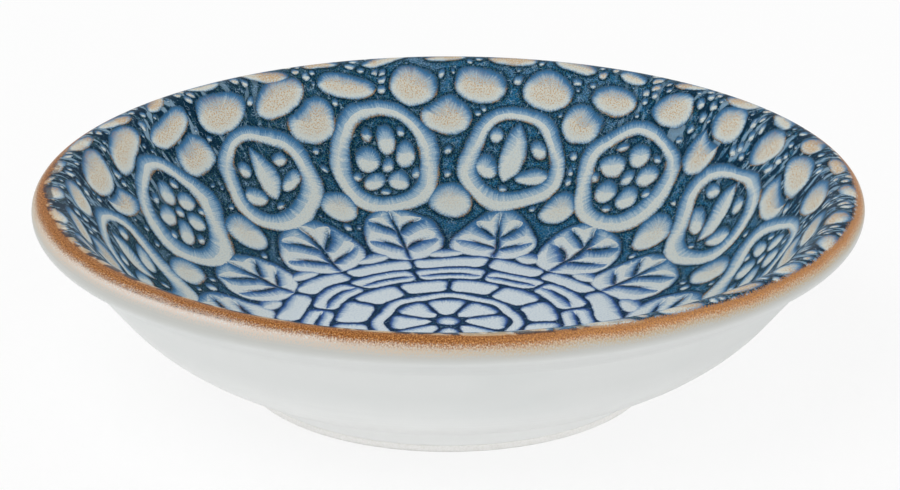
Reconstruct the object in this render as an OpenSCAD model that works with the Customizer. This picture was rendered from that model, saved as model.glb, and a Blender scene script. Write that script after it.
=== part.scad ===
// Soy sauce dish in glazed porcelain: a shallow bowl on a foot ring.
// One fired clay body carries four coats of glaze, each a thin skin of its own.
// The coats stop short of the foot's resting face, which is bare clay.
// Z is up. The origin is the middle of the foot ring, on the surface it stands on.
// All lengths are in millimetres and all angles in degrees.

/* [Dish] */
// Diameter over the lip
rim_d = 90; // [84:1:110]
// Height from the resting face to the top of the lip
dish_h = 22.2; // [20.5:0.1:25]
// Height of the well's floor above the resting face
floor_h = 5.25; // [4.6:0.05:6.5]
// Thickness of the wall, glaze included
wall_t = 2.8; // [2.4:0.1:3.2]
// Slope of the straight wall, from level
wall_slope = 52; // [48:1:58]
// Radius of the inside curve that joins the floor to the wall
well_r = 21; // [14:0.5:24]

/* [Lip] */
// Height of the lip, from its top down to the waist below it
lip_h = 5.1; // [4.6:0.1:5.8]
// Radius of the lip's rounded outer edge
lip_r = 1.65; // [1.3:0.05:1.9]
// Slope of the lip's underside, from level
lip_slope = 36; // [30:1:42]
// Radius of the waist, where the lip's underside meets the wall
waist_r = 1; // [0.5:0.1:3]

/* [Foot] */
// Diameter of the foot ring at the surface it stands on, before its edge is rounded
foot_d = 45.8; // [40:0.2:50]
// Width of the foot ring at that surface, before its edges are rounded
foot_w = 3; // [2.4:0.1:4]
// Depth of the hollow inside the foot ring
recess_h = 2.1; // [1.9:0.1:2.6]
// Lean of the foot ring's two walls, from upright
foot_draft = 10; // [4:1:16]
// Radius of the foot ring's two resting edges
foot_edge_r = 0.5; // [0.3:0.1:0.7]
// Radius between the foot ring and the underside of the bowl
foot_fillet_r = 1.2; // [0.6:0.1:1.6]
// Radius in the corner of the hollow
recess_fillet_r = 0.8; // [0.4:0.1:0.9]

/* [Glaze] */
// Thickness of each coat of glaze
glaze_t = 0.35; // [0.2:0.05:0.5]
// How far the rim's coat reaches round the lip on the inside, from its top, in degrees
band_in = 14; // [4:1:24]
// How far the rim's coat reaches round the lip on the outside, from its top, in degrees
band_out = 82; // [60:1:120]
// Height of the bare clay above the resting face
bare_h = 0.9; // [0.75:0.05:1.1]

/* [Hidden] */
$fn = 180;

// The dish is turned, so every piece is an outline swept round the Z axis.
// The finished surface is one line. It starts in the middle of the floor and runs outwards,
// over the lip, down the outside, under the foot and into the middle of the hollow below.
// A heading is the direction of travel along it, in degrees from level. The clay is always on
// the right of that line, and the air on the left.
arc_step = 5;
fewest_steps = 4;

level_out = 0;
straight_down = -90;
level_in = -180;
straight_up = -270;
wall_up = level_out + wall_slope;
lip_under = level_in + lip_slope;
wall_down = level_in + wall_slope;
foot_down = straight_down - foot_draft;
foot_up = straight_up + foot_draft;

function ahead(h) = [cos(h), sin(h)];
function left(h) = [-sin(h), cos(h)];
function heading_with_left(v) = atan2(v.y, v.x) + straight_down;

// Where the line through p with heading hp crosses the line through q with heading hq
function crossing(p, hp, q, hq) =
    p + ahead(hp) * (((q - p) * left(hq)) / (ahead(hp) * left(hq)));

// The last point on the line through p with heading h that lies reach from c
function at_reach(p, h, c, reach) =
    let (beside = (c - p) * left(h), along = (c - p) * ahead(h))
    p + ahead(h) * (along + sqrt(reach * reach - beside * beside));

// An arc is [centre, radius, first heading, last heading]. It turns left where its radius is
// above zero, and right where it is below.
function on_arc(arc, h) = arc[0] - left(h) * arc[1];

// The arc that rounds the corner where the line through p with heading hp meets the line
// through q with heading hq
function corner_arc(p, hp, q, hq, r) =
    let (
        signed_r = r * sign(hq - hp),
        start = crossing(p, hp, q, hq) - ahead(hp) * (r * tan(abs(hq - hp) / 2))
    )
    [start + left(hp) * signed_r, signed_r, hp, hq];

// A sample is [point, heading]
function samples(arc) =
    let (
        turn = arc[3] - arc[2],
        steps = max(fewest_steps, ceil(abs(turn) / arc_step))
    )
    [for (i = [0:steps]) let (h = arc[2] + turn * i / steps) [on_arc(arc, h), h]];

// Part of an arc, between two headings
function part_arc(arc, from, to) = [arc[0], arc[1], from, to];

// The lip's rounded edge runs from its top to its underside, which ends at the waist
lip_top = [rim_d / 2 - lip_r, dish_h];
lip_arc = [lip_top - [0, lip_r], -lip_r, level_out, lip_under];
waist_level = [0, dish_h - lip_h];
waist_p = crossing(on_arc(lip_arc, lip_under), lip_under, waist_level, level_in);
waist_arc = corner_arc(waist_p, lip_under, waist_p, wall_down, waist_r);

// The inside of the wall, and the curve that takes it to the top of the lip
inner_wall_p = waist_p - left(wall_down) * wall_t;
flare_corner = crossing(inner_wall_p, wall_up, lip_top, level_out);
flare_r = (lip_top.x - flare_corner.x) / tan(wall_up / 2);
flare_arc = corner_arc(inner_wall_p, wall_up, lip_top, level_out, flare_r);
well_arc = corner_arc([0, floor_h], level_out, inner_wall_p, wall_up, well_r);

// Corners of the foot ring before they are rounded
foot_outer_p = [foot_d / 2, 0];
foot_inner_p = [foot_d / 2 - foot_w, 0];

// The underside follows the well's curve, one wall below it, until it meets the foot ring
belly_r = well_r + wall_t;
well_c = well_arc[0];
foot_fillet_c = at_reach(
    foot_outer_p + left(foot_down) * foot_fillet_r, foot_down, well_c, belly_r + foot_fillet_r
);
belly_end = heading_with_left(foot_fillet_c - well_c);
belly_arc = [well_c, -belly_r, wall_down, belly_end];
foot_fillet_arc = [foot_fillet_c, foot_fillet_r, belly_end, foot_down];
outer_edge_arc = corner_arc(foot_outer_p, foot_down, foot_outer_p, level_in, foot_edge_r);
inner_edge_arc = corner_arc(foot_inner_p, level_in, foot_inner_p, foot_up, foot_edge_r);
recess_arc = corner_arc(foot_inner_p, foot_up, [0, recess_h], level_in, recess_fillet_r);

// Where the glaze ends on the two sides of the foot ring
bare_along = bare_h / cos(foot_draft);
outer_bare = [foot_outer_p - ahead(foot_down) * bare_along, foot_down];
inner_bare = [foot_inner_p + ahead(foot_up) * bare_along, foot_up];

// The finished surface, in the five stretches that the pieces share
inner_face = concat(
    [[[0, floor_h], level_out]],
    samples(well_arc),
    samples(part_arc(flare_arc, wall_up, band_in))
);
rim_face = concat(
    samples(part_arc(flare_arc, band_in, level_out)),
    rest(samples(part_arc(lip_arc, level_out, -band_out)))
);
outer_face = concat(
    samples(part_arc(lip_arc, -band_out, lip_under)),
    samples(waist_arc),
    samples(belly_arc),
    samples(foot_fillet_arc),
    [outer_bare]
);
bare_face = concat(
    [outer_bare],
    samples(outer_edge_arc),
    samples(inner_edge_arc),
    [inner_bare]
);
foot_well_face = concat([inner_bare], samples(recess_arc), [[[0, recess_h], level_in]]);

function rest(list) = [for (i = [1:len(list) - 1]) list[i]];
function backwards(list) = [for (i = [len(list) - 1:-1:0]) list[i]];
function glazed(face) = [for (s = face) s[0]];
function under_glaze(face) = [for (s = face) s[0] - left(s[1]) * glaze_t];

// One coat of glaze over a stretch of the finished surface
module coat(face) {
    rotate_extrude()
        polygon(concat(glazed(face), backwards(under_glaze(face))));
}

// The fired clay: bowl, floor and foot ring in one piece
module porcelain_body() {
    color("whitesmoke")
        rotate_extrude()
            polygon(concat(
                under_glaze(inner_face),
                rest(under_glaze(rim_face)),
                rest(under_glaze(outer_face)),
                glazed(bare_face),
                under_glaze(foot_well_face)
            ));
}

// The decorated coat over the well and the inside of the wall
module inner_glaze() {
    color([0.42, 0.53, 0.62])
        coat(inner_face);
}

// The iron-brown coat over the lip
module rim_glaze() {
    color([0.65, 0.42, 0.23])
        coat(rim_face);
}

// The white coat over the outside, from the lip to the foot ring
module outer_glaze() {
    color([0.9, 0.91, 0.9])
        coat(outer_face);
}

// The white coat in the hollow inside the foot ring
module foot_well_glaze() {
    color([0.88, 0.89, 0.88])
        coat(foot_well_face);
}

porcelain_body();
inner_glaze();
rim_glaze();
outer_glaze();
foot_well_glaze();
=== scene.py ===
"""Looks of a glazed soy sauce dish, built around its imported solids.

The finished surface is read from the frame as one line, from the middle of the floor over the lip
to the hollow under the foot. Every coat of glaze and the clay body are turned from that line.
Lengths are in millimetres up to the point where a mesh, lamp or camera is placed.
"""

import math
from collections import defaultdict, namedtuple
from functools import partial, reduce

import bpy
import numpy as np
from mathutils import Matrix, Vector


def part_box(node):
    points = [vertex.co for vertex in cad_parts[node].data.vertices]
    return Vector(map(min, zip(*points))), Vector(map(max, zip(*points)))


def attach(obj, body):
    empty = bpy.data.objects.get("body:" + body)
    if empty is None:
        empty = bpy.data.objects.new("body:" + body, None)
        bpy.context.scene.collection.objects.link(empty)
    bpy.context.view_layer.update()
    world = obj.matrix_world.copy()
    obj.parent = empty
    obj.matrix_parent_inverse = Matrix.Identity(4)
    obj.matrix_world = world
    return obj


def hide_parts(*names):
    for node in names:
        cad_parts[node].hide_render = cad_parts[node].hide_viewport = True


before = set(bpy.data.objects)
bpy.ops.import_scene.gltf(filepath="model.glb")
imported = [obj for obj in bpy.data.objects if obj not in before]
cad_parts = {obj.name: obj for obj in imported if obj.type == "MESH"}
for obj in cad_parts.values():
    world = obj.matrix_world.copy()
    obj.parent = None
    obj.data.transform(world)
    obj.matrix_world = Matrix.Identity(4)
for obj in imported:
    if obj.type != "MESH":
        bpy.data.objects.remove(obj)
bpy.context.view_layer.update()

MM = 0.001
FULL_TURN = 2 * math.pi

# Camera, solved from the outline of the dish in a photograph 900 pixels wide
CAMERA_ELEVATION = math.radians(21.23)
CAMERA_DISTANCE = 327.33
TARGET = (0.21, 0.0, 14.37)
LENS = 119.47
SENSOR_WIDTH = 36.0
CLIP_START = 10.0

# Light tent: its strength low down, high up and below the floor, how much its low part gains towards the
# right and its high part towards the left, and the heights, from -1 to 1, between which it changes
TENT_LOW = 1.56
TENT_HIGH = 0.5
TENT_BELOW = 0.8
LOW_TO_RIGHT = 0.07
HIGH_TO_LEFT = 0.3
LOW_TO_HIGH = (0.1, 0.9)
BELOW_TO_LOW = (-0.2, 0.0)

# Key light
KEY_WATTS = 2.3
KEY_WIDTH = 700.0
KEY_PLACE = (-350.0, -450.0, 900.0)

# Floor: its reach, how far it goes in under the foot, and how much of it shows as plain white
FLOOR_REACH = 2000.0
FLOOR_UNDER_FOOT = 0.05
FLOOR_WHITE_SHARE = 0.8
FLOOR_STEP = 4

# Turning
STEPS_AROUND = 288
RING_SPACING = 0.36
POINT_DIGITS = 2
POINT_TOLERANCE = 0.001
ON_AXIS = 0.01
ON_SEAM = 0.00001
LONGER_NEIGHBOUR = 3.0

# Unevenness of a dish made by hand, all of it inwards, so that it stays in the CAD box
LIP_DROP = 0.2
LIP_HIGH_AT = math.radians(50)
LIP_WAVE = 0.04
LIP_WAVES_AROUND = 3
LIP_WAVE_START = 1.0
TURNING_RIDGE = 0.02
RIDGE_WAVES = (1.7, 2.9, 4.6, 7.3)
RIDGE_SEED = 4
RIDGES_BELOW_LIP = 1.0
RIDGES_ABOVE_FOOT = 2.0
RIDGE_FADE = 2.0
GLAZE_EDGE = 0.1
EDGE_RING_SHARES = (0.1, 0.25, 0.5, 0.75, 1.0)

# Discs that the faces are laid out in for the export: those that show, and the rest
Disc = namedtuple("Disc", "middle radius")
SEEN_DISC = Disc(0.5, 0.49)
UNSEEN_DISC = Disc(0.09, 0.085)
SPREAD = "spread"


# The finished surface, read from the frame


def seam_edges(mesh):
    """A solid's outline in the half plane through +X: the edges, as pairs of (radius, height)."""
    on_seam = {
        v.index: (round(v.co.x / MM, POINT_DIGITS), round(v.co.z / MM, POINT_DIGITS))
        for v in mesh.vertices
        if abs(v.co.y) < ON_SEAM * MM and v.co.x > -ON_SEAM * MM
    }
    pairs = [tuple(edge.vertices) for edge in mesh.edges]
    ends = [(on_seam[a], on_seam[b]) for a, b in pairs if a in on_seam and b in on_seam]
    return {frozenset(pair) for pair in ends if pair[0] != pair[1]}


def finished_line():
    """The outline of all the solids together, from the floor to the hollow under the foot.

    An edge that two solids share lies inside the dish, so the outline is the edges with one owner.
    Returns the points and the owner of each edge. The two flat discs on the axis have no edge on
    the seam, so the line is run on to the axis at both ends.
    """
    owners = defaultdict(set)
    for name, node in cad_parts.items():
        for edge in seam_edges(node.data):
            owners[edge].add(name)
    outside = {edge: min(names) for edge, names in owners.items() if len(names) == 1}
    beside = defaultdict(set)
    for edge in outside:
        a, b = edge
        beside[a].add(b)
        beside[b].add(a)
    ends = [point for point in beside if len(beside[point]) == 1]
    hollow_end, floor_end = sorted(ends, key=lambda point: point[1])
    path = [floor_end]
    while path[-1] != hollow_end:
        (onwards,) = beside[path[-1]] - set(path[-2:-1])
        path.append(onwards)
    edge_owner = [outside[frozenset(pair)] for pair in zip(path, path[1:])]
    points = np.array([(0.0, floor_end[1]), *path, (0.0, hollow_end[1])])
    return points, [edge_owner[0], *edge_owner, edge_owner[-1]]


def tangents(points):
    """A direction for each point: halfway between its two edges, or along the far longer one."""
    edges = np.diff(points, axis=0)
    lengths = np.linalg.norm(edges, axis=1)
    units = edges / lengths[:, None]
    result = [units[0]]
    for i in range(1, len(units)):
        ratio = lengths[i] / lengths[i - 1]
        if ratio > LONGER_NEIGHBOUR:
            result.append(units[i])
        elif ratio < 1 / LONGER_NEIGHBOUR:
            result.append(units[i - 1])
        else:
            middle = units[i] + units[i - 1]
            result.append(middle / np.linalg.norm(middle))
    return np.array([*result, units[-1]])


def ring_shares(length, glaze_ends_before, glaze_ends_after):
    """Where along an edge the rings lie, as shares of it: closer together where a glaze ends."""
    steps = max(2, math.ceil(length / RING_SPACING))
    close = np.array(EDGE_RING_SHARES) * GLAZE_EDGE / length
    shares = [np.linspace(0, 1, steps, endpoint=False)]
    if glaze_ends_before:
        shares.append(close)
    if glaze_ends_after:
        shares.append(1 - close)
    joined = np.unique(np.round(np.concatenate(shares), 4))
    return joined[(joined >= 0) & (joined < 1)]


def smooth_line(points, owners):
    """Curves through the points. Also returns at which ring each point went."""
    directions = tangents(points)
    bare = [owner == "porcelain_body" for owner in owners]
    dense, places = [], []
    for i in range(len(points) - 1):
        length = np.linalg.norm(points[i + 1] - points[i])
        before = i > 0 and bare[i] != bare[i - 1]
        after = i + 1 < len(bare) and bare[i] != bare[i + 1]
        t = ring_shares(length, before, after)[:, None]
        places.append(sum(len(part) for part in dense))
        dense.append(
            (2 * t**3 - 3 * t**2 + 1) * points[i]
            + (t**3 - 2 * t**2 + t) * length * directions[i]
            + (3 * t**2 - 2 * t**3) * points[i + 1]
            + (t**3 - t**2) * length * directions[i + 1]
        )
    places.append(sum(len(part) for part in dense))
    return np.vstack([*dense, points[-1:]]), places


def ridges(along, low, high):
    """Faint rings left by turning, between two places along the line: how far out, never above 0."""
    random = np.random.default_rng(RIDGE_SEED)
    waves = [np.sin(along * FULL_TURN / wave + random.uniform(0, FULL_TURN)) for wave in RIDGE_WAVES]
    fade = np.clip(np.minimum(along - low, high - along) / RIDGE_FADE, 0, 1)
    return TURNING_RIDGE * fade * (sum(waves) / len(waves) - 1)


class Surface:
    """The finished surface of the dish as a grid of points: rings by steps round the axis."""

    def __init__(self):
        points, self.owners = finished_line()
        self.line, self.places = smooth_line(points, self.owners)
        steps = np.linalg.norm(np.diff(self.line, axis=0), axis=1)
        self.along = np.concatenate([[0], np.cumsum(steps)])
        self.top = int(self.line[:, 1].argmax())
        self.angles = np.arange(STEPS_AROUND) * FULL_TURN / STEPS_AROUND
        self.grid = self.uneven()
        self.onwards = np.gradient(self.grid, self.along, axis=0)
        self.normals = self.find_normals()

    def uneven(self):
        """The line swept round the axis, the lip a little low and wavy and the outside ringed."""
        direction = np.gradient(self.line, self.along, axis=0)
        direction /= np.linalg.norm(direction, axis=1)[:, None]
        outwards = np.stack([-direction[:, 1], direction[:, 0]], axis=1)
        radius, height = self.line.T
        low = self.along[int(radius.argmax())] + RIDGES_BELOW_LIP
        high = self.along[int(height.argmin())] - RIDGES_ABOVE_FOOT
        line = self.line + outwards * ridges(self.along, low, high)[:, None]
        raised = np.clip(height / height.max(), 0, 1)[:, None] ** 2
        drop = LIP_DROP * (1 - np.cos(self.angles - LIP_HIGH_AT)) / 2
        wave = LIP_WAVE * (1 - np.cos(LIP_WAVES_AROUND * self.angles + LIP_WAVE_START)) / 2
        swept_radius = line[:, :1] * (1 - raised * wave / radius.max())
        swept_height = line[:, 1:] - raised * (drop + wave)
        x = swept_radius * np.cos(self.angles)
        y = swept_radius * np.sin(self.angles)
        return np.stack([x, y, np.maximum(swept_height, 0)], axis=2)

    def find_normals(self):
        """Unit normals, from the neighbours of each point."""
        around = np.roll(self.grid, -1, axis=1) - np.roll(self.grid, 1, axis=1)
        normals = np.cross(self.onwards, around)
        normals[0] = (0, 0, 1)
        normals[-1] = (0, 0, -1)
        return normals / np.linalg.norm(normals, axis=2)[:, :, None]

    def stretch(self, node):
        """First and last ring of the part of the surface that a node owns."""
        mine = [i for i, owner in enumerate(self.owners) if owner == node]
        return self.places[mine[0]], self.places[mine[-1] + 1]

    def ends_of_edges(self, first, last):
        """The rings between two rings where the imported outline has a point, in order."""
        return np.array([place for place in self.places if first <= place <= last])


surface = Surface()
BARE_FROM, BARE_TO = surface.stretch("porcelain_body")
ALONG_TOTAL = surface.along[-1]
TOP_ALONG = surface.along[surface.top]
GLAZE = surface.line[0, 1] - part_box("inner_glaze")[0].z / MM


# Rings of the five pieces


class Rings(namedtuple("Rings", "points normals along seen")):
    """The rings of a turned piece in order, with the place along the line that each comes from.

    A ring is seen if the band of faces that follows it shows when the dish is whole.
    """

    def __add__(self, other):
        return Rings(*(np.concatenate(pair) for pair in zip(self, other)))


def face_rings(first, last):
    """The finished surface between two rings, rounded down where glaze meets bare clay."""
    rings = np.arange(first, last + 1)
    along = surface.along[rings]
    edges = [edge for edge in (BARE_FROM, BARE_TO) if first <= edge <= last]
    distance = np.min([abs(along - surface.along[edge]) for edge in edges] or [along + 1], axis=0)
    share = np.clip(1 - distance / GLAZE_EDGE, 0, 1)
    sunk = GLAZE_EDGE * (1 - np.sqrt(1 - share**2))
    slope = np.gradient(sunk, along)
    points = surface.grid[rings] - surface.normals[rings] * sunk[:, None, None]
    normals = surface.normals[rings] + surface.onwards[rings] * slope[:, None, None]
    normals /= np.linalg.norm(normals, axis=2)[:, :, None]
    return Rings(points, normals, along, rings < last)


def clay_rings(first, last, inside_out):
    """The face of the clay under the glaze between two rings. Inside out, it is a coat's back."""
    rings = surface.ends_of_edges(first, last)
    if inside_out:
        rings = rings[::-1]
    points = surface.grid[rings] - surface.normals[rings] * GLAZE
    normals = surface.normals[rings] * (-1 if inside_out else 1)
    return Rings(points, normals, surface.along[rings], np.zeros(len(rings), bool))


def coat_rings(node):
    """A coat of glaze: its face and its back, starting on the axis if it reaches the axis."""
    first, last = surface.stretch(node)
    face = face_rings(first, last)
    back = clay_rings(first, last, True)
    return back + face if last == len(surface.along) - 1 else face + back


def body_rings():
    """The clay body: under the glaze everywhere but at the bare rim of the foot."""
    end = len(surface.along) - 1
    inside = clay_rings(0, BARE_FROM, False)
    hollow = clay_rings(BARE_TO, end, False)
    return inside + face_rings(BARE_FROM, BARE_TO) + hollow


# Meshes


def turned_mesh(name, rings):
    """A closed mesh from rings of points. A ring on the axis becomes one point."""
    on_axis = np.hypot(rings.points[:, 0, 0], rings.points[:, 0, 1]) < ON_AXIS
    counts = np.where(on_axis, 1, STEPS_AROUND)
    starts = np.concatenate([[0], np.cumsum(counts)[:-1]]).tolist()
    vertices = np.concatenate([ring[:count] for ring, count in zip(rings.points, counts)])
    ring_of, step_of, faces = [], [], []
    bands = len(counts) if counts[0] > 1 and counts[-1] > 1 else len(counts) - 1
    for i in range(bands):
        j = (i + 1) % len(counts)
        for a in range(STEPS_AROUND):
            b = (a + 1) % STEPS_AROUND
            corners = [(i, a), (j, a), (j, b), (i, b)]
            if counts[i] == 1:
                corners = corners[:3]
            if counts[j] == 1:
                corners = [corners[0], corners[1], corners[3]]
            faces.append([starts[ring] + (step if counts[ring] > 1 else 0) for ring, step in corners])
            ring_of.append([(i, ring) for ring, _ in corners])
            step_of.extend(step for _, step in corners)
    mesh = bpy.data.meshes.new(name)
    mesh.from_pydata(vertices * MM, [], faces)
    mesh.shade_smooth()
    band_and_ring = np.array([pair for face in ring_of for pair in face])
    write_bake_map(mesh, rings, band_and_ring, np.array(step_of))
    write_spread(mesh, rings, counts)
    write_normals(mesh, rings.normals[band_and_ring[:, 1], step_of])
    return mesh


def write_bake_map(mesh, rings, band_and_ring, step_of):
    """Lays the faces out flat for the export: those that show in a large disc, the rest in a small.

    The middle of the large disc is the middle of the floor, or of the hollow under the foot.
    """
    seen = rings.seen[band_and_ring[:, 0]]
    along = rings.along[band_and_ring[:, 1]]
    is_inside = along[seen].max() < (TOP_ALONG + ALONG_TOTAL) / 2 and along[seen].min() < TOP_ALONG / 2
    reach = along if is_inside else ALONG_TOTAL - along
    share = np.where(seen, reach / reach[seen].max(), along / ALONG_TOTAL)
    radius = np.where(seen, SEEN_DISC.radius, UNSEEN_DISC.radius) * share
    middle = np.where(seen, SEEN_DISC.middle, UNSEEN_DISC.middle)
    angle = surface.angles[step_of]
    places = np.stack([middle + radius * np.cos(angle), middle + radius * np.sin(angle)], axis=1)
    mesh.uv_layers.new(name="OFBake").data.foreach_set("uv", places.astype(np.float32).ravel())


def write_spread(mesh, rings, counts):
    """The surface laid out flat round its centre, for the drawing: x, y and the true radius.

    The length of x, y is the distance along the surface from the middle of the floor.
    """
    spread = []
    for points, along, count in zip(rings.points, rings.along, counts):
        angle = surface.angles[:count]
        radius = np.full(count, math.hypot(*points[0, :2]))
        spread.append(np.stack([np.cos(angle) * along, np.sin(angle) * along, radius], axis=1))
    attribute = mesh.attributes.new(SPREAD, "FLOAT_VECTOR", "POINT")
    attribute.data.foreach_set("vector", np.concatenate(spread).astype(np.float32).ravel())


def write_normals(mesh, normals):
    """Each corner takes the surface's own normal, so no crease shows where two coats meet."""
    mesh.normals_split_custom_set(normals.tolist())


def put_in_scene(name, data):
    """A new object in the scene, made of a mesh, lamp or camera."""
    thing = bpy.data.objects.new(name, data)
    bpy.context.scene.collection.objects.link(thing)
    return thing


def add_piece(name, rings, node, material):
    """Puts a turned piece in the scene in place of a CAD node."""
    piece = put_in_scene(name, turned_mesh(name, rings))
    piece.data.materials.append(material)
    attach(piece, "root")
    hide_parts(node)


# Writing node trees as sums

NODE_PREFIX = "ShaderNode"


class Value:
    """A number, place or colour that varies over a surface: one output of a node.

    Sums of values, and of values and plain numbers, make nodes.
    """

    def __init__(self, socket):
        self.socket = socket

    def __gt__(self, other):
        return maths("GREATER_THAN", self, other)


def allow(sign, operation):
    """Lets a value stand on either side of a sign."""
    setattr(Value, f"__{sign}__", lambda value, other: maths(operation, value, other))
    setattr(Value, f"__r{sign}__", lambda value, other: maths(operation, other, value))


for sign, operation in (("add", "ADD"), ("sub", "SUBTRACT"), ("mul", "MULTIPLY"), ("truediv", "DIVIDE")):
    allow(sign, operation)


def new_node(tree, kind, **settings):
    """A node of a kind, with its settings made."""
    node = tree.nodes.new(NODE_PREFIX + kind)
    for name, setting in settings.items():
        setattr(node, name, setting)
    return node


def feed(node, place, source):
    """Gives an input of a node a value: another node's output, a number or a colour."""
    if isinstance(source, Value):
        node.id_data.links.new(source.socket, node.inputs[place])
    else:
        node.inputs[place].default_value = source


def computed(kind, inputs, output=0, **settings):
    """One output of a new node. inputs says what its inputs get, by their place or name."""
    tree = next(source.socket.node.id_data for source in inputs.values() if isinstance(source, Value))
    node = new_node(tree, kind, **settings)
    for place, source in inputs.items():
        feed(node, place, source)
    return Value(node.outputs[output])


def maths(operation, *sources):
    return computed("Math", dict(enumerate(sources)), operation=operation)


largest = partial(maths, "MAXIMUM")
smallest = partial(maths, "MINIMUM")
size_of = partial(maths, "ABSOLUTE")
sign_of = partial(maths, "SIGN")


def hypotenuse(a, b):
    return maths("SQRT", a * a + b * b)


def vector(x, y, z=0.0):
    return computed("CombineXYZ", {0: x, 1: y, 2: z})


def parts_of(source):
    first = computed("SeparateXYZ", {0: source})
    return [Value(output) for output in first.socket.node.outputs]


# Places of a Mix node's inputs, and of the output that gives a colour
AMOUNT, LOW_NUMBER, HIGH_NUMBER, LOW_COLOUR, HIGH_COLOUR = 0, 2, 3, 6, 7
MIXED_COLOUR = 2


def between(low, high, amount):
    """low where amount is 0, high where it is 1."""
    return computed("Mix", {AMOUNT: amount, LOW_NUMBER: low, HIGH_NUMBER: high}, data_type="FLOAT")


def blend_colours(low, high, amount):
    """The colour low where amount is 0, high where it is 1."""
    inputs = {AMOUNT: amount, LOW_COLOUR: low, HIGH_COLOUR: high}
    return computed("Mix", inputs, MIXED_COLOUR, data_type="RGBA")


def layered(colour, *layers):
    """Colours laid over one another in order, each with how much of it shows."""
    for over, amount in layers:
        colour = blend_colours(colour, over, amount)
    return colour


def rise(value, start, end):
    """0 up to start, 1 from end on, with a smooth slope between. start may be above end."""
    inputs = {"Value": value, "From Min": start, "From Max": end}
    return computed("MapRange", inputs, interpolation_type="SMOOTHSTEP")


def noise(place, grain, detail=0.0, roughness=0.5, dimensions="2D"):
    """Cloudy noise around 0.5 whose features are about grain across. Returns value and colour."""
    inputs = {"Vector": place, "Scale": 1 / grain, "Detail": detail, "Roughness": roughness}
    value = computed("TexNoise", inputs, "Fac", noise_dimensions=dimensions)
    return value, Value(value.socket.node.outputs["Color"])


def chance(index, series):
    """Three random numbers from 0 to 1 for each whole number, the same each time."""
    inputs = {"Vector": vector(index, float(series))}
    return parts_of(computed("TexWhiteNoise", inputs, "Color", noise_dimensions="2D"))


def srgb(red, green, blue):
    """A colour as a screen shows it, from 0 to 255, in the linear values that a shader takes."""
    shares = [channel / 255 for channel in (red, green, blue)]
    linear = [s / 12.92 if s <= 0.04045 else ((s + 0.055) / 1.055) ** 2.4 for s in shares]
    return (*linear, 1.0)


# The drawing: cells on a dark ground


class Cell(namedtuple("Cell", "depth facing_u facing_v size")):
    """One painted shape. depth is how far inside its edge a spot lies, below 0 outside.

    facing_u and facing_v say which way the nearest edge faces, round the dish and up its wall.
    size is the shape's own half width, which sets how far its shading reaches.
    """


def chosen(low, high, amount):
    """The shape low where amount is 0, high where it is 1."""
    return Cell(*(between(of_low, of_high, amount) for of_low, of_high in zip(low, high)))


def deeper(a, b):
    """Two shapes as one: at each spot, the one that reaches further over it."""
    return chosen(b, a, a.depth > b.depth)._replace(depth=largest(a.depth, b.depth))


def all_of(cells):
    return reduce(deeper, cells)


def bead(u, v, radius):
    distance = hypotenuse(u, v)
    return Cell(radius - distance, u / distance, v / distance, radius)


def oval(u, v, half_width, half_height, size=None):
    share_u, share_v = u / half_width, v / half_height
    reach = hypotenuse(share_u, share_v)
    steep_u, steep_v = share_u / half_width, share_v / half_height
    steep = hypotenuse(steep_u, steep_v)
    depth = reach * (1 - reach) / steep
    return Cell(depth, steep_u / steep, steep_v / steep, half_width if size is None else size)


def egg(u, v, half_width, half_height, taper):
    """An oval that is narrower towards the rim for a taper above 0."""
    return oval(u * (1 + v * (taper / half_height)), v, half_width, half_height)


def leaf(u, v, half_width, half_height):
    """A pointed shape between two arcs."""
    offset = (half_height**2 - half_width**2) / (2 * half_width)
    aside = size_of(u) + offset
    distance = hypotenuse(aside, v)
    depth = offset + half_width - distance
    return Cell(depth, aside * sign_of(u) / distance, v / distance, half_width)


def without(shape, hole, size):
    """A shape with a hole in it."""
    outside = 0 - hole.depth
    edge_nearer = outside > shape.depth
    return Cell(
        smallest(shape.depth, outside),
        between(0 - hole.facing_u, shape.facing_u, edge_nearer),
        between(0 - hole.facing_v, shape.facing_v, edge_nearer),
        size,
    )


def block(u, v, half_width, half_height, corner):
    """A rounded block."""
    over_u = size_of(u) - half_width + corner
    over_v = size_of(v) - half_height + corner
    outside = hypotenuse(largest(over_u, 0.0), largest(over_v, 0.0))
    depth = corner - outside - smallest(largest(over_u, over_v), 0.0)
    share_u, share_v = u / half_width, v / half_height
    steep_u, steep_v = share_u * share_u * share_u, share_v * share_v * share_v
    steep = hypotenuse(steep_u, steep_v)
    return Cell(depth, steep_u / steep, steep_v / steep, corner)


def ribbon(v, half_width):
    """A band round the dish."""
    return Cell(half_width - size_of(v), 0.0, sign_of(v), half_width)


# A row of shapes round the dish: how many, how far their middles lie from the middle of the floor along
# the surface, how far they are turned as a share of one place, their random series and their tilt
Row = namedtuple("Row", "count along turned series tilt", defaults=(0.0, 0, 0.0))
FLOOR_PETALS = Row(8, 4.05, series=1)
INNER_BLOCKS = Row(12, 10.6, turned=0.5, series=2)
BARRED_BLOCKS = Row(12, 14.5, series=3)
OUTER_BLOCKS = Row(14, 18.1, turned=0.5, series=4)
BERRIES = Row(14, 20.9, turned=0.5, series=5)
LEAVES = Row(14, 24.3, series=6)
LOW_PEBBLES = Row(14, 30.4, turned=0.5, series=9, tilt=0.2)
MEDALLIONS = Row(14, 35.9, series=8, tilt=0.16)
HIGH_PEBBLES = Row(14, 41.7, turned=0.5, series=10, tilt=0.5)
RIM_PEBBLES = Row(30, 45.6, series=11, tilt=0.6)
LIP_PEBBLES = Row(34, 49.7, turned=0.5, series=12, tilt=0.3)

# One place in a row: axes from its middle, round the dish and up the wall, and what sets it apart
Spot = namedtuple("Spot", "u v random index count")


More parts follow.
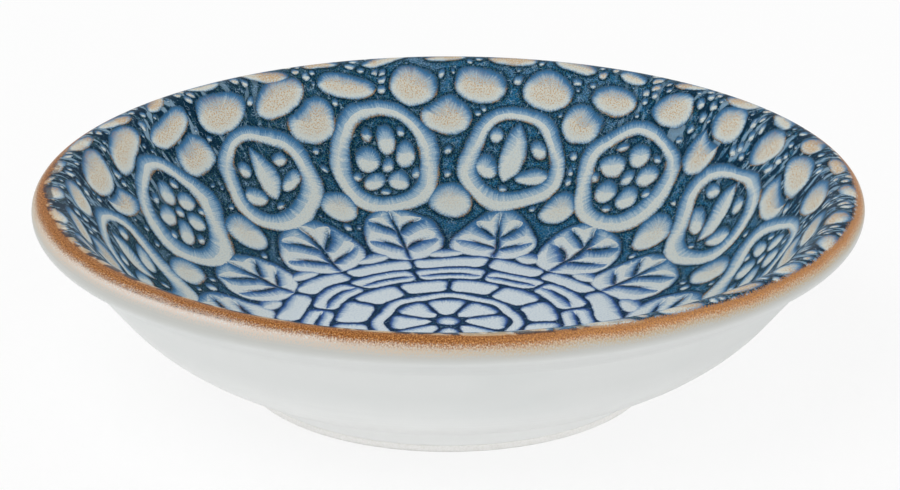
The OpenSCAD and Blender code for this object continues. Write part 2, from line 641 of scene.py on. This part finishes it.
class Sheet:
    """The decorated surface as a drawing: a place on it, with its angle and true radius."""

    def __init__(self, x, y, radius):
        self.x = x
        self.y = y
        self.radius = radius
        self.along = hypotenuse(x, y)
        self.angle = maths("ARCTAN2", y, x)
        self.cosine = x / self.along
        self.sine = y / self.along

    def nearest(self, row):
        """The nearest place of a row of shapes."""
        turn = self.angle * (row.count / FULL_TURN) + row.turned
        nearest = maths("FLOOR", turn + 0.5)
        index = maths("FLOORED_MODULO", nearest, float(row.count))
        u = (turn - nearest) * self.radius * (FULL_TURN / row.count)
        v = self.along - row.along
        random = chance(index, row.series)
        if row.tilt:
            lean = (random[2] - 0.5) * (2 * row.tilt)
            u, v = u - v * lean, v + u * lean
        return Spot(u, v, random, index, row.count)


def picked(random, sizes, less=0.0):
    """A size between two sizes, by a random number from 0 to 1."""
    low, high = sizes
    return random * (high - low) + (low - less)


def laid_flat(tree):
    """x and y of the surface laid out flat round its centre, and its true radius."""
    attribute = new_node(tree, "Attribute", attribute_name=SPREAD)
    return parts_of(Value(attribute.outputs["Vector"]))


# How far hand-drawn lines stray: slow drift, more of it on the wall than on the floor, and a fine shake
DRIFT_ON_FLOOR = 0.9
DRIFT_ON_WALL = 2.3
SHAKE = 0.3


def wavering(x, y):
    """The same place shifted a little, so that lines drawn from it look drawn by hand."""
    place = vector(x, y)
    drift_x, drift_y, _ = parts_of(noise(place, 8.0)[1])
    shake_x, shake_y, _ = parts_of(noise(place, 1.6, 1.0)[1])
    drift = between(DRIFT_ON_FLOOR, DRIFT_ON_WALL, rise(hypotenuse(x, y), 8.0, 24.0))
    moved_x = x + (drift_x - 0.5) * drift + (shake_x - 0.5) * SHAKE
    moved_y = y + (drift_y - 0.5) * drift + (shake_y - 0.5) * SHAKE
    return moved_x, moved_y


def spun(u, v, count):
    """Axes of the nearest of count places round a point, and the cosine and sine to undo them."""
    nearest = maths("FLOOR", maths("ARCTAN2", u, v) * (count / FULL_TURN) + 0.5)
    turn = nearest * (FULL_TURN / count)
    cosine, sine = maths("COSINE", turn), maths("SINE", turn)
    return u * cosine - v * sine, u * sine + v * cosine, cosine, sine


def unspun(cell, cosine, sine):
    """A shape drawn in turned axes, with its edges facing the right way again."""
    facing_u = cell.facing_u * cosine + cell.facing_v * sine
    facing_v = cell.facing_v * cosine - cell.facing_u * sine
    return cell._replace(facing_u=facing_u, facing_v=facing_v)


BLOCK_CORNER = 1.1
HALF_LINE = 0.15
FLOOR_DOT = 1.25
LOBES = 8.0
EDGING_ALONG = 7.6
EDGING_SWAY = 0.2
EDGING_HALF_WIDTH = 0.72
STROKE_HALF_LENGTHS = (1.6, 2.4)
STROKE_HALF_WIDTH = 0.16
BERRY_HALF_WIDTHS = (1.8, 2.1)
BERRY_HALF_HEIGHT = 1.15


def block_row(sheet, spot, half_height):
    """Rounded blocks side by side round the dish, with a line left between them."""
    half_width = sheet.radius * (math.pi / spot.count) - HALF_LINE
    return block(spot.u, spot.v, half_width, half_height, BLOCK_CORNER)


def barred_blocks(sheet):
    """Blocks with a thin stroke along the middle of each."""
    spot = sheet.nearest(BARRED_BLOCKS)
    stroke = oval(spot.u, spot.v + 0.1, picked(spot.random[0], STROKE_HALF_LENGTHS), STROKE_HALF_WIDTH)
    return without(block_row(sheet, spot, 1.82), stroke, 1.2)


def berries(sheet):
    spot = sheet.nearest(BERRIES)
    return oval(spot.u, spot.v, picked(spot.random[0], BERRY_HALF_WIDTHS), BERRY_HALF_HEIGHT)


def floor_rings(sheet):
    """Eight petals in a lobed ribbon in the middle of the floor, with rings of blocks round them."""
    dot = Cell(FLOOR_DOT - sheet.along, 0.0, 1.0, 1.2)
    petals = block_row(sheet, sheet.nearest(FLOOR_PETALS), 2.45)
    lobes = maths("COSINE", sheet.angle * LOBES)
    edging = ribbon(sheet.along - EDGING_ALONG - lobes * EDGING_SWAY, EDGING_HALF_WIDTH)
    inner = block_row(sheet, sheet.nearest(INNER_BLOCKS), 1.82)
    outer = block_row(sheet, sheet.nearest(OUTER_BLOCKS), 1.52)
    return [dot, petals, edging, inner, barred_blocks(sheet), outer, berries(sheet)]


def mirrored(cell, u):
    """A shape drawn at the size of u, standing on both sides."""
    return cell._replace(facing_u=cell.facing_u * sign_of(u))


def grown(cell, margin):
    """A shape made larger by a margin all round."""
    return cell._replace(depth=cell.depth + margin)


def leaning_pair(u, v, degrees, start, half_width, half_length):
    """Two ovals that lean out from a point on both sides."""
    sine, cosine = math.sin(math.radians(degrees)), math.cos(math.radians(degrees))
    aside = size_of(u)
    across = aside * cosine - v * sine
    onwards = aside * sine + v * cosine
    middle = start + half_length
    return mirrored(unspun(oval(across, onwards - middle, half_width, half_length), cosine, sine), u)


def broad_leaf(spot):
    """One of the broad pointed leaves where the floor turns up into the wall."""
    return leaf(spot.u, spot.v, 5.0, 4.85)


def veined_leaves(sheet):
    """The broad leaves, each with a rib and two pairs of veins drawn as thin lines."""
    spot = sheet.nearest(LEAVES)
    rib = oval(spot.u, spot.v + 0.7, 0.17, 3.2)
    low = leaning_pair(spot.u, spot.v + 2.4, 58, 0.5, 0.16, 1.3)
    high = leaning_pair(spot.u, spot.v - 0.2, 50, 0.6, 0.16, 1.3)
    return without(broad_leaf(spot), all_of([rib, low, high]), 1.4)


def blossom(u, v):
    """Five petals round a bead, with a bud in each gap."""
    in_u, in_v, cosine, sine = spun(u, v, 5)
    petals = oval(in_u, in_v - 2.7, 1.42, 1.6)
    buds = mirrored(bead(size_of(in_u) - 2.35, in_v - 3.35, 0.62), in_u)
    return deeper(unspun(deeper(petals, buds), cosine, sine), bead(u, v, 0.85))


def spray(u, v):
    """A tall leaf with a shorter one leaning out on either side, and beads in the gaps."""
    tall = leaf(u, v - 0.5, 1.6, 3.9)
    short = leaning_pair(u, v + 3.7, 52, 1.5, 1.2, 1.9)
    high_beads = mirrored(bead(size_of(u) - 2.8, v - 2.0, 1.05), u)
    return all_of([tall, short, high_beads, bead(u, v + 4.3, 0.55)])


MEDALLION_HALF_WIDTHS = (6.55, 7.05)
MEDALLION_HALF_HEIGHTS = (7.2, 7.7)
MEDALLION_TAPER = -0.12
MEDALLION_BORDER = 2.35


def medallion(spot, inset=0.0, raised=0.0):
    """One of the egg-shaped medallions up the wall, or a smaller egg inside it."""
    half_width = picked(spot.random[0], MEDALLION_HALF_WIDTHS, inset)
    half_height = picked(spot.random[1], MEDALLION_HALF_HEIGHTS, inset * 1.1)
    return egg(spot.u, spot.v - raised, half_width, half_height, MEDALLION_TAPER)


def medallion_ring(sheet):
    """The medallions' swelling outlines, with a blossom or a spray of leaves inside by turns."""
    spot = sheet.nearest(MEDALLIONS)
    every_other = maths("FLOORED_MODULO", spot.index, 2.0)
    content = chosen(blossom(spot.u, spot.v - 0.4), spray(spot.u, spot.v - 0.5), every_other)
    content = content._replace(size=1.15)
    return [without(medallion(spot), medallion(spot, MEDALLION_BORDER, 0.5), 1.3), content]


# Half widths and half heights of the pebbles, from the smallest to the largest
LOW_PEBBLE_SIZES = ((2.1, 2.5), (2.6, 3.1))
HIGH_PEBBLE_SIZES = ((2.5, 3.3), (2.5, 3.2))
RIM_PEBBLE_SIZES = ((2.7, 4.0), (2.0, 2.8))
LIP_PEBBLE_SIZES = ((1.9, 3.4), (1.1, 1.6))
PEBBLE_GAP = 0.35


def pebble(spot, sizes, scatter=0.0, size=None):
    """An oval at a place of a row. scatter is how far it may lie up or down from the row's middle."""
    widths, heights = sizes
    v = spot.v - spot.random[2] * (2 * scatter) + scatter if scatter else spot.v
    return oval(spot.u, v, picked(spot.random[0], widths), picked(spot.random[1], heights), size)


def low_pebbles(sheet):
    """A pebble between the feet of each two medallions."""
    return pebble(sheet.nearest(LOW_PEBBLES), LOW_PEBBLE_SIZES)


def high_pebbles(sheet):
    """A pebble between the heads of each two medallions, cut off where a rim pebble lies."""
    whole = pebble(sheet.nearest(HIGH_PEBBLES), HIGH_PEBBLE_SIZES)
    return without(whole, grown(rim_pebbles(sheet), PEBBLE_GAP), 2.3)


def rim_pebbles(sheet):
    """A ring of pebbles below the rim, and one on the lip."""
    below = pebble(sheet.nearest(RIM_PEBBLES), RIM_PEBBLE_SIZES, 0.5, 2.0)
    above = pebble(sheet.nearest(LIP_PEBBLES), LIP_PEBBLE_SIZES, 0.4, 1.6)
    return deeper(below, above)


def wall_depth(sheet):
    """How deep a spot lies inside the large shapes on the wall."""
    shapes = [
        rim_pebbles(sheet),
        broad_leaf(sheet.nearest(LEAVES)),
        medallion(sheet.nearest(MEDALLIONS)),
        low_pebbles(sheet),
        high_pebbles(sheet),
    ]
    return reduce(largest, [shape.depth for shape in shapes])


def rim_depth(sheet):
    """How deep a spot lies inside the pebbles at the rim."""
    return rim_pebbles(sheet).depth


SMALL_PEBBLE_SPACING = 1.6
SMALL_PEBBLE_RADII = (0.5, 0.9)
SMALL_PEBBLE_LEAST = 0.22
SMALL_PEBBLE_GAP = 0.22
SMALL_PEBBLES_FROM = (24.5, 26.5)
FAR_OUTSIDE = 99.0


def small_pebbles(sheet, large_depth):
    """Round pebbles in the ground of the wall, each as large as the gap round its middle allows.

    large_depth says how deep a place lies inside the large shapes.
    """
    inputs = {"Vector": vector(sheet.x, sheet.y), "Scale": 1 / SMALL_PEBBLE_SPACING, "Randomness": 0.6}
    cells = partial(computed, "TexVoronoi", inputs, voronoi_dimensions="2D")
    lot = cells("Color")
    to_border = cells("Distance", feature="DISTANCE_TO_EDGE")
    middle_x, middle_y, _ = parts_of(Value(lot.socket.node.outputs["Position"]))
    middle = Sheet(middle_x, middle_y, sheet.radius)
    first, last = SMALL_PEBBLES_FROM
    room = -SMALL_PEBBLE_GAP - large_depth(middle) - rise(middle.along, last, first) * FAR_OUTSIDE
    radius = smallest(room, picked(parts_of(lot)[0], SMALL_PEBBLE_RADII))
    radius = between(-1.0, radius, room > SMALL_PEBBLE_LEAST)
    off_x, off_y = sheet.x - middle_x, sheet.y - middle_y
    distance = hypotenuse(off_x, off_y) + 0.02
    facing_u = (off_y * sheet.cosine - off_x * sheet.sine) / distance
    facing_v = (off_x * sheet.cosine + off_y * sheet.sine) / distance
    from_border = to_border * SMALL_PEBBLE_SPACING - 0.1
    return Cell(smallest(radius - distance, from_border), facing_u, facing_v, 0.8)


# Colours of the drawing, as a screen shows them

INK = srgb(0, 35, 56)
INK_FLOOR = srgb(0, 34, 70)
GROUND = srgb(26, 102, 146)
# Greener and darker ground for the left of the wall; the darkening is painted shade
GROUND_GREEN_AND_SHADE = srgb(10, 61, 85)
GROUND_PALE = srgb(120, 152, 184)
GROUND_FLOOR = srgb(28, 80, 122)
HALO_DEEP = srgb(58, 111, 153)
HALO_FLOOR = srgb(54, 96, 164)
HALO_PALE = srgb(140, 169, 190)
HALO_PALE_FLOOR = srgb(150, 176, 204)
CREAM = srgb(205, 211, 206)
COOL_WHITE = srgb(221, 230, 234)
OCHRE_TINT = srgb(213, 193, 155)
OCHRE = srgb(188, 146, 92)
OCHRE_LINE = srgb(172, 134, 78)
SPECK = srgb(76, 112, 98)
OLIVE = srgb(112, 100, 58)

# Grain of the drawing: of its specks, of the streaks in its shading and of the stretches with warm edges
GRAIN = 0.2
STREAK_GRAIN = 0.24
WARM_STRETCH = 4.0

# How far the blue shading runs in, at the edges that face the front and at those that face the back
HALO_REACH = (0.26, 1.3)
WIDEST_HALO = 1.5

# Where each colour takes over from the one further out, as shares of how far the shading runs in
TO_DEEP = (0.0, 0.2)
TO_HALO = (0.15, 0.6)
TO_PALE = (0.42, 1.45)


def painted(sheet, on_floor, cells, flat):
    """The colour of the drawing: shaded shapes on a dark ground, with a fuzzy edge between them."""
    grains = parts_of(noise(flat, GRAIN, 1.0)[1])
    streak, _ = noise(nearest_edge(sheet, cells), STREAK_GRAIN, 2.0, 0.65)
    backward = rise(towards_back(sheet, cells), -0.5, 0.8)
    ink = blend_colours(INK, INK_FLOOR, on_floor)
    shaded = shading(cells, on_floor, backward, streak, grains, ink)
    shaded = warmed(sheet, on_floor, cells, flat, shaded, backward, grains)
    ground = ground_colour(sheet, on_floor, cells, flat, grains, ink)
    fuzz = ((streak - 0.5) * 0.5 * backward + (grains[2] - 0.5) * 0.3) * (1 - on_floor * 0.5)
    return blend_colours(ground, shaded, rise(cells.depth + fuzz, between(-0.03, -0.2, backward), 0.08))


def towards_back(sheet, cells):
    """How far the nearest edge faces the back of the dish, or the rim."""
    return cells.facing_v * (sheet.sine * 0.6 + 0.4) + cells.facing_u * sheet.cosine * 0.6


def nearest_edge(sheet, cells):
    """The place on the nearest edge. Noise read there runs in streaks at right angles to the edge."""
    out_x = cells.facing_v * sheet.cosine - cells.facing_u * sheet.sine
    out_y = cells.facing_v * sheet.sine + cells.facing_u * sheet.cosine
    return vector(sheet.x + out_x * cells.depth, sheet.y + out_y * cells.depth)


def shading(cells, on_floor, backward, streak, grains, ink):
    """A shape from its edge inwards: ink, deep blue, pale blue and cream."""
    nearest, furthest = HALO_REACH
    hair = streak * 1.7 + grains[1] * 0.8 - 0.25
    reach = between(nearest, furthest, backward) * hair
    share = cells.depth / (reach * smallest(cells.size, WIDEST_HALO) * (1 - on_floor * 0.45))
    deep = blend_colours(HALO_DEEP, HALO_FLOOR, on_floor)
    halo = blend_colours(HALO_PALE, HALO_PALE_FLOOR, on_floor)
    pale = layered(
        CREAM,
        (COOL_WHITE, on_floor),
        (halo, rise(grains[2], 0.45, 0.68) * 0.3),
        (OCHRE_TINT, rise(grains[1], 0.5, 0.66) * (1 - on_floor) * 0.25),
    )
    return layered(
        ink,
        (deep, backward * 0.6),
        (deep, rise(share, *TO_DEEP)),
        (halo, rise(share, *TO_HALO)),
        (pale, rise(share, *TO_PALE)),
    )


def warmed(sheet, on_floor, cells, flat, shaded, backward, grains):
    """Ochre in the middle of large pebbles, along some front edges and at the rim, and olive specks."""
    heart = rise(cells.depth / cells.size, 0.15, 0.8) * rise(cells.size, 1.3, 1.7)
    heart = heart * between(0.12, 1.0, rise(sheet.along, 24.0, 42.0))
    stretch, _ = noise(flat, WARM_STRETCH, 1.0)
    line = rise(cells.depth, 0.34, 0.12) * rise(backward, 0.5, 0.2) * rise(stretch, 0.5, 0.6)
    line = line * rise(cells.size, 1.0, 1.25) * (1 - on_floor)
    at_rim = rise(sheet.along, 46.5, 49.0) * rise(stretch, 0.46, 0.6) * rise(cells.depth, 0.1, 0.5)
    speck = rise(grains[1], 0.5, 0.58) * rise(cells.depth, 0.45, 0.05) * (1 - on_floor * 0.5)
    return layered(
        shaded,
        (OCHRE_TINT, heart * 0.25),
        (OCHRE, rise(grains[0], 0.62 - heart * 0.11, 0.62) * heart * 0.75),
        (OCHRE_LINE, line * rise(grains[0], 0.36, 0.5) * 0.75),
        (OCHRE, at_rim * rise(grains[1], 0.36, 0.56) * 0.7),
        (OLIVE, speck * between(0.75, 0.3, backward)),
    )


REED_SPACING = 0.8
REED_SPREAD = 46.0
REED_STRETCH = 0.3


def reeds(sheet, ink):
    """Dark and pale strokes up the wall near the rim, at the left and the right of the dish."""
    around = vector(sheet.cosine * REED_SPREAD, sheet.sine * REED_SPREAD, sheet.along * REED_STRETCH)
    reed, _ = noise(around, REED_SPACING, 1.0, 0.5, "3D")
    beside = rise(sheet.along, 36.0, 43.0) * rise(size_of(sheet.cosine), 0.35, 0.85)
    dark = rise(reed, 0.5, 0.45) * beside * 0.9
    pale = rise(reed, 0.56, 0.62) * beside * 0.7
    return [(ink, dark), (HALO_PALE, pale)]


def ground_colour(sheet, on_floor, cells, flat, grains, ink):
    """The dark ground: clouded blue, inked beside the shapes, with reeds and fine pale cracks."""
    patch, _ = noise(flat, 9.0, 1.0)
    mottle, _ = noise(flat, 0.8, 3.0, 0.65)
    clouded = rise(patch, 0.5, 0.68) * mottle * 0.7 + rise(mottle, 0.45, 0.75) * 0.35
    beside_shape = rise(cells.depth, -1.0, -0.35)
    vein, _ = noise(flat, 2.4, 2.0, 0.6)
    cracked = rise(size_of(vein - 0.5), 0.012, 0.003) * rise(mottle, 0.42, 0.6)
    return layered(
        GROUND,
        # Painted shade: the ground turns darker, and greener, towards the left of the dish
        (GROUND_GREEN_AND_SHADE, rise(sheet.x, 10.0, -35.0)),
        (GROUND_PALE, clouded + rise(grains[0], 0.54, 0.64) * 0.35),
        (GROUND_FLOOR, on_floor),
        (ink, rise(grains[2], 0.44, 0.54) * between(0.5, 0.9, beside_shape)),
        (ink, rise(cells.depth, -0.55, -0.12) * rise(grains[0], 0.24, 0.4)),
        (SPECK, rise(grains[1], 0.56, 0.62) * 0.5 * (1 - on_floor * 0.5)),
        *reeds(sheet, ink),
        (HALO_PALE, cracked * 0.65),
    )


def decoration(sheet):
    """All the shapes of the drawing as one."""
    cells = all_of(
        floor_rings(sheet)
        + [veined_leaves(sheet)]
        + medallion_ring(sheet)
        + [low_pebbles(sheet), high_pebbles(sheet), rim_pebbles(sheet)]
    )
    return deeper(cells, small_pebbles(sheet, wall_depth))


def rim_decoration(sheet):
    """The outermost part of the drawing, which is all that reaches on to the lip."""
    return deeper(rim_pebbles(sheet), small_pebbles(sheet, rim_depth))


# The iron wash on the lip

IRON_DARK = srgb(92, 54, 26)
IRON = srgb(154, 98, 54)
IRON_PALE = srgb(180, 130, 90)
IRON_BRIGHT = srgb(202, 144, 84)
IRON_EDGE = srgb(36, 48, 62)
IRON_CREAM = srgb(222, 200, 164)
IRON_THIN = srgb(188, 168, 134)
IRON_BLUSH = srgb(212, 192, 176)

# Where the wash starts on the inside and ends on the outside, as places along the surface
WASH_FROM = 50.7
WASH_TO = 51.32
WASH_GRAIN = 0.2
LEFT_FRONT = math.radians(232)
RIGHT_FRONT = math.radians(325)


def facing(x, y, along, direction):
    """1 on the side of the dish that lies in a direction, -1 on the far side."""
    return (x * math.cos(direction) + y * math.sin(direction)) / along


def iron_washed(x, y, colour):
    """Brown iron wash laid over the lip. It thins to specks at both edges.

    It starts further down the inside and ends sooner outside on the left of the front.
    """
    flat = vector(x, y)
    along = hypotenuse(x, y)
    near = largest(facing(x, y, along, LEFT_FRONT), 0.0)
    near = near * near
    rightwards = facing(x, y, along, RIGHT_FRONT)
    specks = parts_of(noise(flat, WASH_GRAIN, 1.5, 0.6)[1])
    sway, _ = noise(flat, 6.0, 1.0)
    starts = WASH_FROM - near * 1.8 + (sway - 0.5) * 0.6
    ends = WASH_TO + rightwards * 0.2 - near * near * near * 0.7 + (sway - 0.5) * 0.5
    beyond = along - ends - near * 0.5
    tint = rise(beyond, 1.4, 0.4) * rise(along, starts, starts + 0.6)
    tint = tint * rise(specks[2] - largest(beyond, 0.0) * 0.1, 0.32, 0.46)
    thin = blend_colours(IRON_THIN, IRON_BLUSH, near * near)
    speckled = along + (specks[0] - 0.5) * 1.1
    covered = rise(speckled, starts - 0.2, starts + 0.2) * rise(speckled, ends + 0.8, ends - 0.3)
    brown = iron_brown(along, starts, ends, rightwards, specks)
    washed = layered(colour, (thin, tint * 0.75), (brown, covered))
    return iron_edged(flat, along, starts, near, washed)


def iron_brown(along, starts, ends, rightwards, specks):
    """The wash itself: brown, paler on the right of the front, with bright, burnt and sandy specks."""
    paler = rise(rightwards, 0.45, 0.95)
    burnt = largest(rise(specks[2], 0.48, 0.64), rise(along, starts + 0.9, starts) * 0.4)
    sandy = rise(specks[0] + specks[1], 1.02, 1.2) * rise(along, ends - 0.5, ends + 0.4)
    return layered(
        IRON,
        (IRON_PALE, paler),
        (IRON_BRIGHT, rise(specks[1], 0.5, 0.64)),
        (IRON_DARK, burnt * between(0.75, 0.4, paler)),
        (IRON_CREAM, sandy * 0.7),
    )


def iron_edged(flat, along, starts, near, washed):
    """Dark and cream dashes where the wash starts, on the left of the front only."""
    patch, _ = noise(flat, 2.2, 1.0)
    edged = rise(along, starts - 0.7, starts - 0.4) * rise(along, starts + 0.5, starts + 0.25)
    edged = edged * rise(near, 0.05, 0.5)
    cream = edged * rise(patch, 0.49, 0.42) * 0.5
    dark = edged * rise(patch, 0.51, 0.58) * 0.8
    return layered(washed, (IRON_CREAM, cream), (IRON_EDGE, dark))


# Materials

DRAWING_ENDS = (50.95, 51.25)
WALL_TO_FLOOR = (31.0, 16.0)
SWELL = 0.02
SATIN = (0.26, 0.36)
DRAWN_GLOSS = 0.02
WHITE_GLOSS = 0.28
BISQUE_ROUGHNESS = 0.85
BISQUE_BUMP = 0.03
BISQUE = srgb(244, 243, 239)
BISQUE_WHITE = srgb(251, 250, 248)
FLOOR_WHITE = srgb(250, 250, 250)
FLOOR_ROUGHNESS = 0.9


def new_material(name):
    """A material with its node tree and its shader."""
    material = bpy.data.materials.new(name)
    material.use_nodes = True
    tree = material.node_tree
    shader = next(node for node in tree.nodes if node.type == "BSDF_PRINCIPLED")
    return material, tree, shader


def position(tree):
    """Place on the dish in millimetres."""
    place = Value(new_node(tree, "TexCoord").outputs["Object"])
    return computed("VectorMath", {0: place, "Scale": 1 / MM}, operation="SCALE")


def add_bump(shader, height, distance):
    """A relief from a height that varies from 0 to 1. distance is its depth in millimetres."""
    feed(shader, "Normal", computed("Bump", {"Distance": distance * MM, "Height": height}))


def glaze(name, tone, gloss):
    """A satin glaze with a faint unevenness like orange peel: a tone with the iron wash over it.

    tone makes a colour from x and y of the surface laid out flat and from its true radius.
    """
    material, tree, shader = new_material(name)
    x, y, radius = laid_flat(tree)
    swell, _ = noise(position(tree), 2.5, 2.0, dimensions="3D")
    feed(shader, "Base Color", iron_washed(x, y, tone(x, y, radius)))
    feed(shader, "Roughness", between(*SATIN, swell))
    feed(shader, "Specular IOR Level", gloss)
    add_bump(shader, swell, SWELL)
    return material


def drawn_inside(x, y, radius):
    sheet = Sheet(*wavering(x, y), radius)
    on_floor = rise(sheet.along, *WALL_TO_FLOOR)
    return painted(sheet, on_floor, decoration(sheet), vector(x, y))


def drawn_lip(x, y, radius):
    """The drawing runs out on the lip, and white takes over."""
    sheet = Sheet(*wavering(x, y), radius)
    drawing = painted(sheet, radius * 0.0, rim_decoration(sheet), vector(x, y))
    return blend_colours(drawing, plain_white(x, y, radius), rise(hypotenuse(x, y), *DRAWING_ENDS))


WHITE = srgb(218, 220, 219)
WHITE_THIN = srgb(213, 216, 215)
# Painted shade: the grey of the white glaze just under the lip
UNDER_LIP_PAINTED_SHADE = srgb(184, 185, 181)
# Painted light: the white towards the foot, in the hollow under it and on the turning lines above it
FOOT_PAINTED_LIGHT = srgb(245, 246, 245)


def plain_white(x, y, radius):
    """White with faint clouds and turning lines, painted shade under the lip, and painted light towards
    the foot.
    """
    along = hypotenuse(x, y)
    cloud, _ = noise(position(radius.socket.node.id_data), 12.0, 2.0, dimensions="3D")
    line, _ = noise(vector(along, 0.0), 0.55, 1.0)
    # Light turning lines just above the foot: turning marks, partly a painted highlight where the foot
    # meets the wall
    turned = rise(line, 0.5, 0.68) * rise(along, 67.0, 70.0) * rise(along, 77.0, 75.0)
    return layered(
        WHITE,
        (WHITE_THIN, rise(cloud, 0.4, 0.75)),
        # Painted light: whiter towards the foot and in the hollow under it
        (FOOT_PAINTED_LIGHT, rise(along, 62.0, 74.0)),
        (FOOT_PAINTED_LIGHT, turned * 0.6),
        # Painted shade: a grey band just under the lip
        (UNDER_LIP_PAINTED_SHADE, rise(along, 51.2, 51.9) * rise(along, 54.0, 52.4)),
    )


def bisque():
    """Bare fired clay: almost white, dry and faintly sandy."""
    material, tree, shader = new_material("bisque")
    sand, _ = noise(position(tree), 0.25, 3.0, 0.7, "3D")
    feed(shader, "Base Color", blend_colours(BISQUE, BISQUE_WHITE, rise(sand, 0.3, 0.6)))
    feed(shader, "Roughness", BISQUE_ROUGHNESS)
    add_bump(shader, sand, BISQUE_BUMP)
    return material


# The dish

white = glaze("white_glaze", plain_white, WHITE_GLOSS)
drawn = glaze("decorated_glaze", drawn_inside, DRAWN_GLOSS)
iron = glaze("iron_glaze", drawn_lip, DRAWN_GLOSS)
for name, node, slot, material in (
    ("decorated_inside", "inner_glaze", "decorated_glaze", drawn),
    ("rim_band", "rim_glaze", "iron_glaze", iron),
    ("white_outside", "outer_glaze", "white_glaze", white),
    ("foot_hollow", "foot_well_glaze", "white_glaze", white),
):
    add_piece(name, coat_rings(node), node, material)
add_piece("clay_body", body_rings(), "porcelain_body", bisque())


# Floor, light and camera


def floor_mesh():
    """A flat ring from just inside the foot's resting edge to far outside."""
    lowest = surface.line[surface.line[:, 1] < POINT_TOLERANCE, 0]
    radii = (lowest.max() - FLOOR_UNDER_FOOT, FLOOR_REACH)
    angles = surface.angles[::FLOOR_STEP]
    corners = [(r * MM * math.cos(a), r * MM * math.sin(a), 0) for r in radii for a in angles]
    count = len(angles)
    faces = [(i, count + i, count + (i + 1) % count, (i + 1) % count) for i in range(count)]
    mesh = bpy.data.meshes.new("floor")
    mesh.from_pydata(corners, [], faces)
    return mesh


def mixed_shaders(first, second, share):
    """first where share is 0, second where it is 1."""
    return computed("MixShader", {0: share, 1: first, 2: second})


def floor_material():
    """Matt white that the camera sees in part as plain white. It is clear from below."""
    material, tree, shader = new_material("floor")
    feed(shader, "Base Color", FLOOR_WHITE)
    feed(shader, "Roughness", FLOOR_ROUGHNESS)
    feed(shader, "Specular IOR Level", 0.0)
    plain = new_node(tree, "Emission")
    feed(plain, "Strength", 1.0)
    clear = new_node(tree, "BsdfTransparent")
    matt, plain, clear = (Value(node.outputs[0]) for node in (shader, plain, clear))
    camera_ray = Value(new_node(tree, "LightPath").outputs["Is Camera Ray"])
    from_below = Value(new_node(tree, "NewGeometry").outputs["Backfacing"])
    top = mixed_shaders(matt, plain, camera_ray * FLOOR_WHITE_SHARE)
    output = next(node for node in tree.nodes if node.type == "OUTPUT_MATERIAL")
    feed(output, "Surface", mixed_shaders(top, clear, from_below))
    return material


def add_floor():
    """A pale floor that shows almost white and keeps the shadow of the dish.

    It is clear from below and open under the foot, so that the underside can be looked at.
    """
    floor = put_in_scene("floor", floor_mesh())
    floor.data.materials.append(floor_material())


def set_world():
    """A light tent: brightest low down, a little more so on the right, and high up on the left.

    The camera and the gloss see it as plain white.
    """
    world = bpy.data.worlds.new("studio")
    bpy.context.scene.world = world
    world.use_nodes = True
    tree = world.node_tree
    tree.nodes.clear()
    rays = new_node(tree, "LightPath")
    kinds = ("Camera", "Transmission", "Glossy")
    seen = reduce(largest, [Value(rays.outputs[f"Is {kind} Ray"]) for kind in kinds])
    direction = Value(new_node(tree, "TexCoord").outputs["Generated"])
    right, _, up = parts_of(direction)
    low = right * (TENT_LOW * LOW_TO_RIGHT) + TENT_LOW
    high = right * (TENT_HIGH * -HIGH_TO_LEFT) + TENT_HIGH
    tent = between(low, high, rise(up, *LOW_TO_HIGH))
    tent = between(TENT_BELOW, tent, rise(up, *BELOW_TO_LOW))
    inputs = {"Color": (1, 1, 1, 1), "Strength": between(tent, 1.0, seen)}
    feed(new_node(tree, "OutputWorld"), "Surface", computed("Background", inputs))


def aim(thing, back):
    """Turns a lamp or camera so that it looks the opposite way to a direction."""
    thing.rotation_mode = "QUATERNION"
    thing.rotation_quaternion = back.to_track_quat("Z", "Y")


def add_key_light():
    """A large soft lamp high up at the front left, which faces the dish."""
    light = bpy.data.lights.new("key", "AREA")
    light.shape = "DISK"
    light.size = KEY_WIDTH * MM
    light.energy = KEY_WATTS
    key = put_in_scene("key", light)
    key.location = Vector(KEY_PLACE) * MM
    aim(key, key.location)


def add_camera():
    """The camera in front of the dish, level from side to side, which looks down at TARGET."""
    camera = put_in_scene("camera", bpy.data.cameras.new("camera"))
    camera.data.lens = LENS
    camera.data.sensor_width = SENSOR_WIDTH
    target = Vector(TARGET) * MM
    back = Vector((0, -math.cos(CAMERA_ELEVATION), math.sin(CAMERA_ELEVATION)))
    camera.location = target + back * CAMERA_DISTANCE * MM
    aim(camera, back)
    camera.data.clip_start = CLIP_START * MM
    bpy.context.scene.camera = camera


add_floor()
set_world()
add_key_light()
add_camera()
bpy.context.scene.view_settings.view_transform = "Standard"
